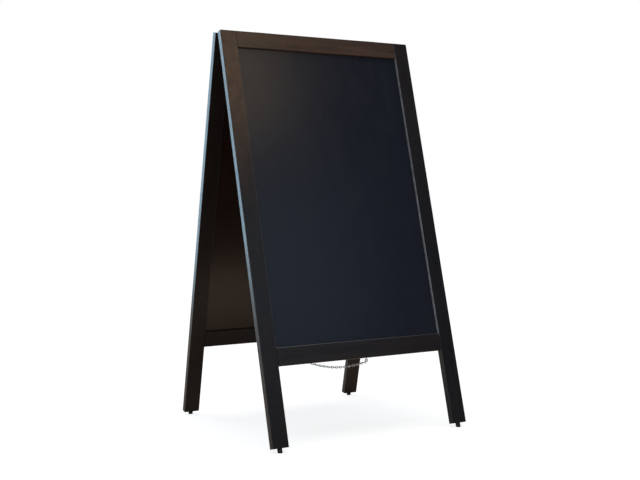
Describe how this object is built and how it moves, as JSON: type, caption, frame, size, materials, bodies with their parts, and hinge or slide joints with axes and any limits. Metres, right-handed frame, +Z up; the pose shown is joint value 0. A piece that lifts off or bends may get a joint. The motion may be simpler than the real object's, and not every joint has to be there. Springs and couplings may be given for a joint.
{
  "type": "sandwich board",
  "caption": "Folding A-frame pavement sign: two stained wooden frames holding blackboards, hinged along the top and held open by a hanging chain, on small rubber feet.",
  "frame": {"origin": "on the floor, at the centre of the footprint of the open board", "axes": "+X across the width, +Z up; the front board faces -Y and the rear board faces +Y"},
  "size_m": [0.69, 0.662, 1.2434],
  "materials": {
    "frame_wood": "black-brown stained wood, satin varnish",
    "chalkboard": "hardboard with smooth blackboard paint, semi-matt",
    "dowel_wood": "plain beech",
    "foot_rubber": "matt black rubber",
    "chain_steel": "bright zinc plate",
    "eye_black": "black japanned wire",
    "screw_steel": "zinc-plated screw",
    "hinge_steel": "zinc-plated pressed steel"
  },
  "bodies": {
    "front_board": {"front_left_stile": "frame_wood", "front_right_stile": "frame_wood", "front_top_rail": "frame_wood", "front_bottom_rail": "frame_wood", "front_dowels": "dowel_wood", "front_chalkboard": "chalkboard", "front_left_foot": "foot_rubber", "front_right_foot": "foot_rubber", "front_foot_screws": "screw_steel", "front_hinge_leaf_left": "hinge_steel", "front_hinge_leaf_right": "hinge_steel", "front_hinge_screws": "screw_steel", "front_screw_eye": "eye_black", "hinge_pin_left": "hinge_steel", "hinge_pin_right": "hinge_steel"},
    "rear_board": {"rear_left_stile": "frame_wood", "rear_right_stile": "frame_wood", "rear_top_rail": "frame_wood", "rear_bottom_rail": "frame_wood", "rear_dowels": "dowel_wood", "rear_chalkboard": "chalkboard", "rear_left_foot": "foot_rubber", "rear_right_foot": "foot_rubber", "rear_foot_screws": "screw_steel", "rear_hinge_leaf_left": "hinge_steel", "rear_hinge_leaf_right": "hinge_steel", "rear_hinge_screws": "screw_steel", "rear_screw_eye": "eye_black"},
    "front_chain": {"front_split_ring": "chain_steel", "front_chain_upper": "chain_steel"},
    "front_chain_end": {"front_chain_lower": "chain_steel"},
    "rear_chain": {"rear_split_ring": "chain_steel", "rear_chain_upper": "chain_steel"},
    "rear_chain_end": {"rear_chain_lower": "chain_steel"}
  },
  "joints": [
    {"name": "fold", "type": "hinge", "parent": "front_board", "child": "rear_board", "pos_m": [0, 0, 1.23967], "axis": [1, 0, 0], "range_deg": [-28.3, 0]},
    {"name": "front_chain_swing", "type": "hinge", "parent": "front_board", "child": "front_chain", "pos_m": [0.014, -0.2677, 0.22579], "axis": [0.999, 0.0227, 0.0375], "range_deg": [-76.6, 0]},
    {"name": "front_chain_knee", "type": "hinge", "parent": "front_chain", "child": "front_chain_end", "pos_m": [0.00332, -0.06343, 0.18288], "axis": [0.973, 0.2095, 0.0968], "range_deg": [0, 69.4]},
    {"name": "rear_chain_swing", "type": "hinge", "parent": "rear_board", "child": "rear_chain", "pos_m": [-0.014, 0.2677, 0.22579], "axis": [0.9682, -0.0764, -0.2381], "range_deg": [0, 109.5]},
    {"name": "rear_chain_knee", "type": "hinge", "parent": "rear_chain", "child": "rear_chain_end", "pos_m": [-0.00332, 0.06343, 0.18288], "axis": [0.999, -0.0094, 0.0439], "range_deg": [0, 95.1]}
  ],
  "couplings": [
    {"joint": "front_chain_swing", "follows": "fold", "ratio": 2.6866},
    {"joint": "front_chain_knee", "follows": "fold", "ratio": -2.4324},
    {"joint": "rear_chain_swing", "follows": "fold", "ratio": -3.8484},
    {"joint": "rear_chain_knee", "follows": "fold", "ratio": -3.3389}
  ]
}
